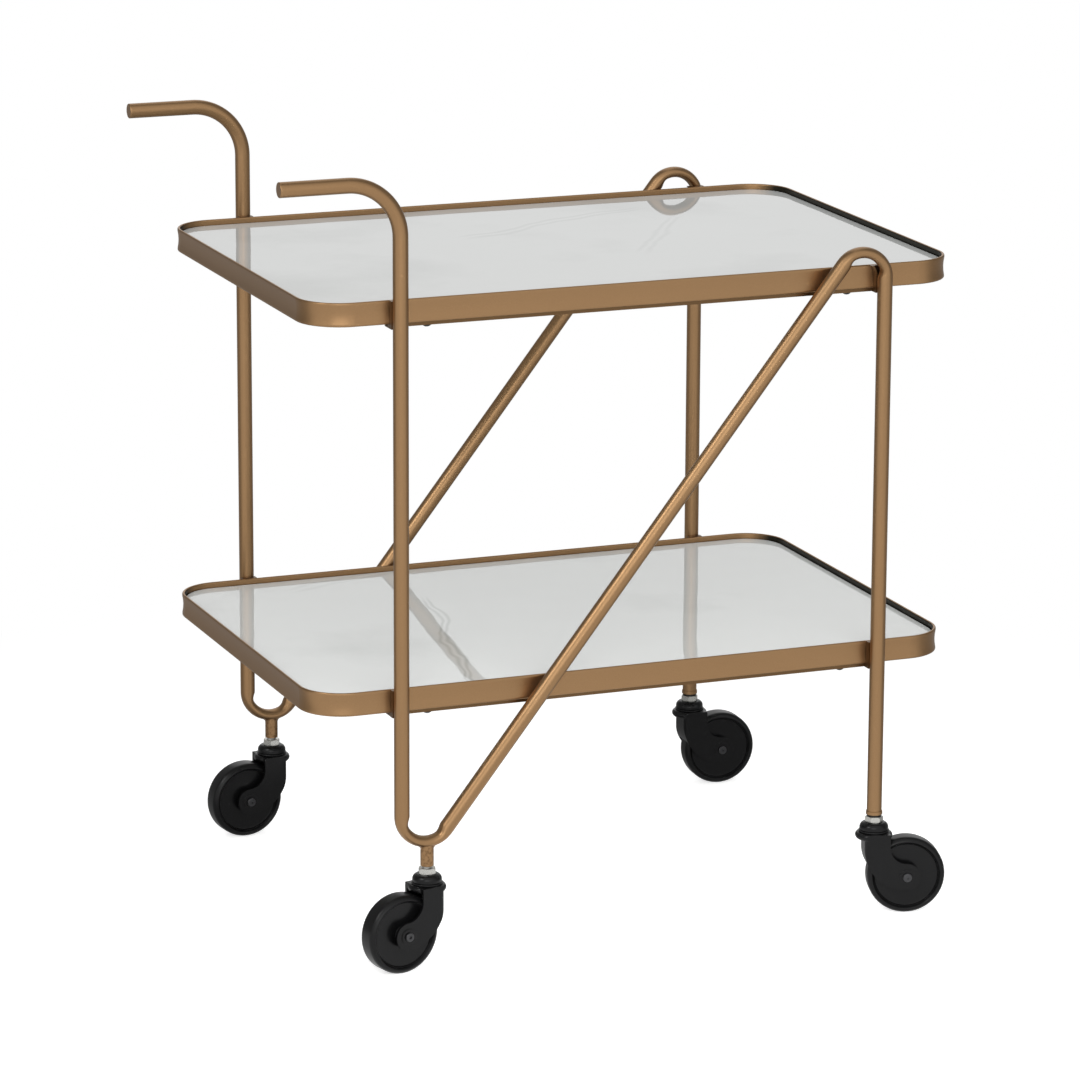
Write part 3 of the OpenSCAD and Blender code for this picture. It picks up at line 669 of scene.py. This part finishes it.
for joint in frame["joints"]:
    if not joint["name"].startswith("spin_"):
        continue
    corner = joint["name"][len("spin_"):]
    for kind, outline, finish_of, slot_of in (("wheel_core_", core_outline(), BLACK, "black_plastic"),
                                              ("tyre_", tyre_outline(), TYRE, "tyre")):
        piece = lathe("turned_" + kind + corner, outline, joint)
        piece.data.materials.append(finish_of)
        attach(piece, joint["child"])
        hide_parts(kind + corner)

# ---- Studio ----
# A white sweep of paper under plain soft lamps, and the camera where the photograph was taken.
# In reflected rays only, the world and the paper glow white in front and darker to the sides, and the paper
# also darker behind: a painted reflection of darker surroundings.
camera_at = Vector((-2.0030, -5.0835, 1.7593))
camera_yaw = 0.3755
camera_pitch = 0.2479
camera_roll = 0.0042
lens = 173.8
clip_end = 60.0

camera = bpy.data.objects.new("camera", bpy.data.cameras.new("camera"))
camera.data.lens = lens
camera.data.clip_end = clip_end
camera.matrix_world = (Matrix.Translation(camera_at) @ Matrix.Rotation(-camera_yaw, 4, "Z")
                       @ Matrix.Rotation(math.pi / 2 - camera_pitch, 4, "X")
                       @ Matrix.Rotation(camera_roll, 4, "Z"))
bpy.context.scene.collection.objects.link(camera)
bpy.context.scene.camera = camera

front_from = 0.55
behind_from = (0.90, 0.98)


def side_shade(tree, where, dark, behind_light):
    """Brightness of what polished surfaces mirror: white in front, dark beside, its own value behind."""
    flat = add(tree, "ShaderNodeVectorMath", {0: where, 1: (1, 1, 0)}, operation="MULTIPLY").outputs[0]
    level = add(tree, "ShaderNodeVectorMath", {0: flat}, operation="NORMALIZE").outputs[0]
    toward = Vector((camera_at.x, camera_at.y, 0)).normalized()
    facing = add(tree, "ShaderNodeVectorMath", {0: level, 1: toward},
                 operation="DOT_PRODUCT").outputs["Value"]
    front = add(tree, "ShaderNodeMapRange", {"Value": facing, "From Min": 0.0, "From Max": front_from},
                interpolation_type="SMOOTHSTEP").outputs[0]
    behind = add(tree, "ShaderNodeMapRange",
                 {"Value": facing, "From Min": -behind_from[0], "From Max": -behind_from[1]},
                 interpolation_type="SMOOTHSTEP").outputs[0]
    beside = ranged(tree, front, dark, 1.0)
    return add(tree, "ShaderNodeMix", {0: behind, 2: beside, 3: behind_light}).outputs[0]


def seen_light(tree, plain, mirrored):
    """Light that a ray finds: white for the camera, the mirrored value in gloss, else the plain one."""
    rays = add(tree, "ShaderNodeLightPath").outputs
    seen = add(tree, "ShaderNodeMath", {0: rays["Is Camera Ray"], 1: rays["Is Transmission Ray"]},
               operation="ADD", use_clamp=True).outputs[0]
    glossy = add(tree, "ShaderNodeMix", {0: rays["Is Glossy Ray"], 2: plain, 3: mirrored}).outputs[0]
    return add(tree, "ShaderNodeMix", {0: seen, 2: glossy, 3: 1.0}).outputs[0]


world_light = 0.71
side_world_gloss = 0.30
side_floor = 0.40
behind_world_gloss = 1.0
behind_floor = 0.2
world = bpy.data.worlds.new("studio")
bpy.context.scene.world = world
world.use_nodes = True
tree = world.node_tree
back = tree.nodes["Background"]
back.inputs["Color"].default_value = (1, 1, 1, 1)
way = add(tree, "ShaderNodeTexCoord").outputs["Generated"]
mirrored_world = side_shade(tree, way, side_world_gloss, behind_world_gloss)
tree.links.new(seen_light(tree, world_light, mirrored_world), back.inputs["Strength"])

floor_reach = 6.0
floor_fade = (0.45, 1.2)
paper_glow = 0.60
PAPER_WHITE = (0.8, 0.8, 0.8, 1)
floor_mesh = bpy.data.meshes.new("floor")
corners = [(x * floor_reach, y * floor_reach, 0) for x, y in ((-1, -1), (1, -1), (1, 1), (-1, 1))]
floor_mesh.from_pydata(corners, [], [(0, 1, 2, 3)])
floor = bpy.data.objects.new("floor", floor_mesh)
bpy.context.scene.collection.objects.link(floor)
paper, tree, shader, where = finish("paper")
shader.inputs["Base Color"].default_value = PAPER_WHITE
shader.inputs["Roughness"].default_value = 0.9
shader.inputs["Specular IOR Level"].default_value = 0.0
shader.inputs["Emission Color"].default_value = (1, 1, 1, 1)
rays = add(tree, "ShaderNodeLightPath").outputs
seen = add(tree, "ShaderNodeMath", {0: rays["Is Camera Ray"], 1: rays["Is Glossy Ray"]}, operation="ADD")
seen = add(tree, "ShaderNodeMath", {0: seen.outputs[0], 1: rays["Is Transmission Ray"]},
           operation="ADD", use_clamp=True).outputs[0]
tree.links.new(ranged(tree, seen, 0.0, paper_glow), shader.inputs["Emission Strength"])
away = add(tree, "ShaderNodeVectorMath", {0: where}, operation="LENGTH").outputs["Value"]
far = add(tree, "ShaderNodeMapRange", {"Value": away, "From Min": floor_fade[0], "From Max": floor_fade[1]},
          interpolation_type="SMOOTHSTEP").outputs[0]
# Painted reflection: in gloss the paper glows by direction instead of showing its own light.
plain = add(tree, "ShaderNodeEmission",
            {"Strength": seen_light(tree, 0.0, side_shade(tree, where, side_floor, behind_floor))})
from_afar = add(tree, "ShaderNodeMath", {0: far, 1: seen}, operation="MULTIPLY").outputs[0]
share = add(tree, "ShaderNodeMath", {0: from_afar, 1: rays["Is Glossy Ray"]}, operation="MAXIMUM").outputs[0]
mixed = add(tree, "ShaderNodeMixShader", {0: share, 1: shader.outputs[0], 2: plain.outputs[0]})
tree.links.new(mixed.outputs[0], tree.nodes["Material Output"].inputs["Surface"])
floor_mesh.materials.append(paper)

aim = Vector((0, 0, 0.45))
low_aim = Vector((0, 0, 0.29))
for name, at, to, size, watts in (("gloss_lamp", (-2.27, -0.88, 2.2), aim, (0.9, 0.9), 15.0),
                                  ("front_lamp", (-1.2, -3.4, 1.6), aim, (2.4, 2.0), 20.0),
                                  ("low_lamp", (-0.2, -1.3, 0.66), low_aim, (1.6, 0.1), 15.0)):
    lamp = bpy.data.lights.new(name, "AREA")
    lamp.shape = "RECTANGLE"
    lamp.size, lamp.size_y = size
    lamp.energy = watts
    holder = bpy.data.objects.new(name, lamp)
    holder.location = at
    holder.rotation_euler = (to - Vector(at)).to_track_quat("-Z", "Y").to_euler()
    holder.visible_diffuse = name != "gloss_lamp"
    holder.visible_glossy = name != "low_lamp"
    holder.visible_camera = False
    bpy.context.scene.collection.objects.link(holder)

bpy.context.scene.view_settings.view_transform = "Standard"
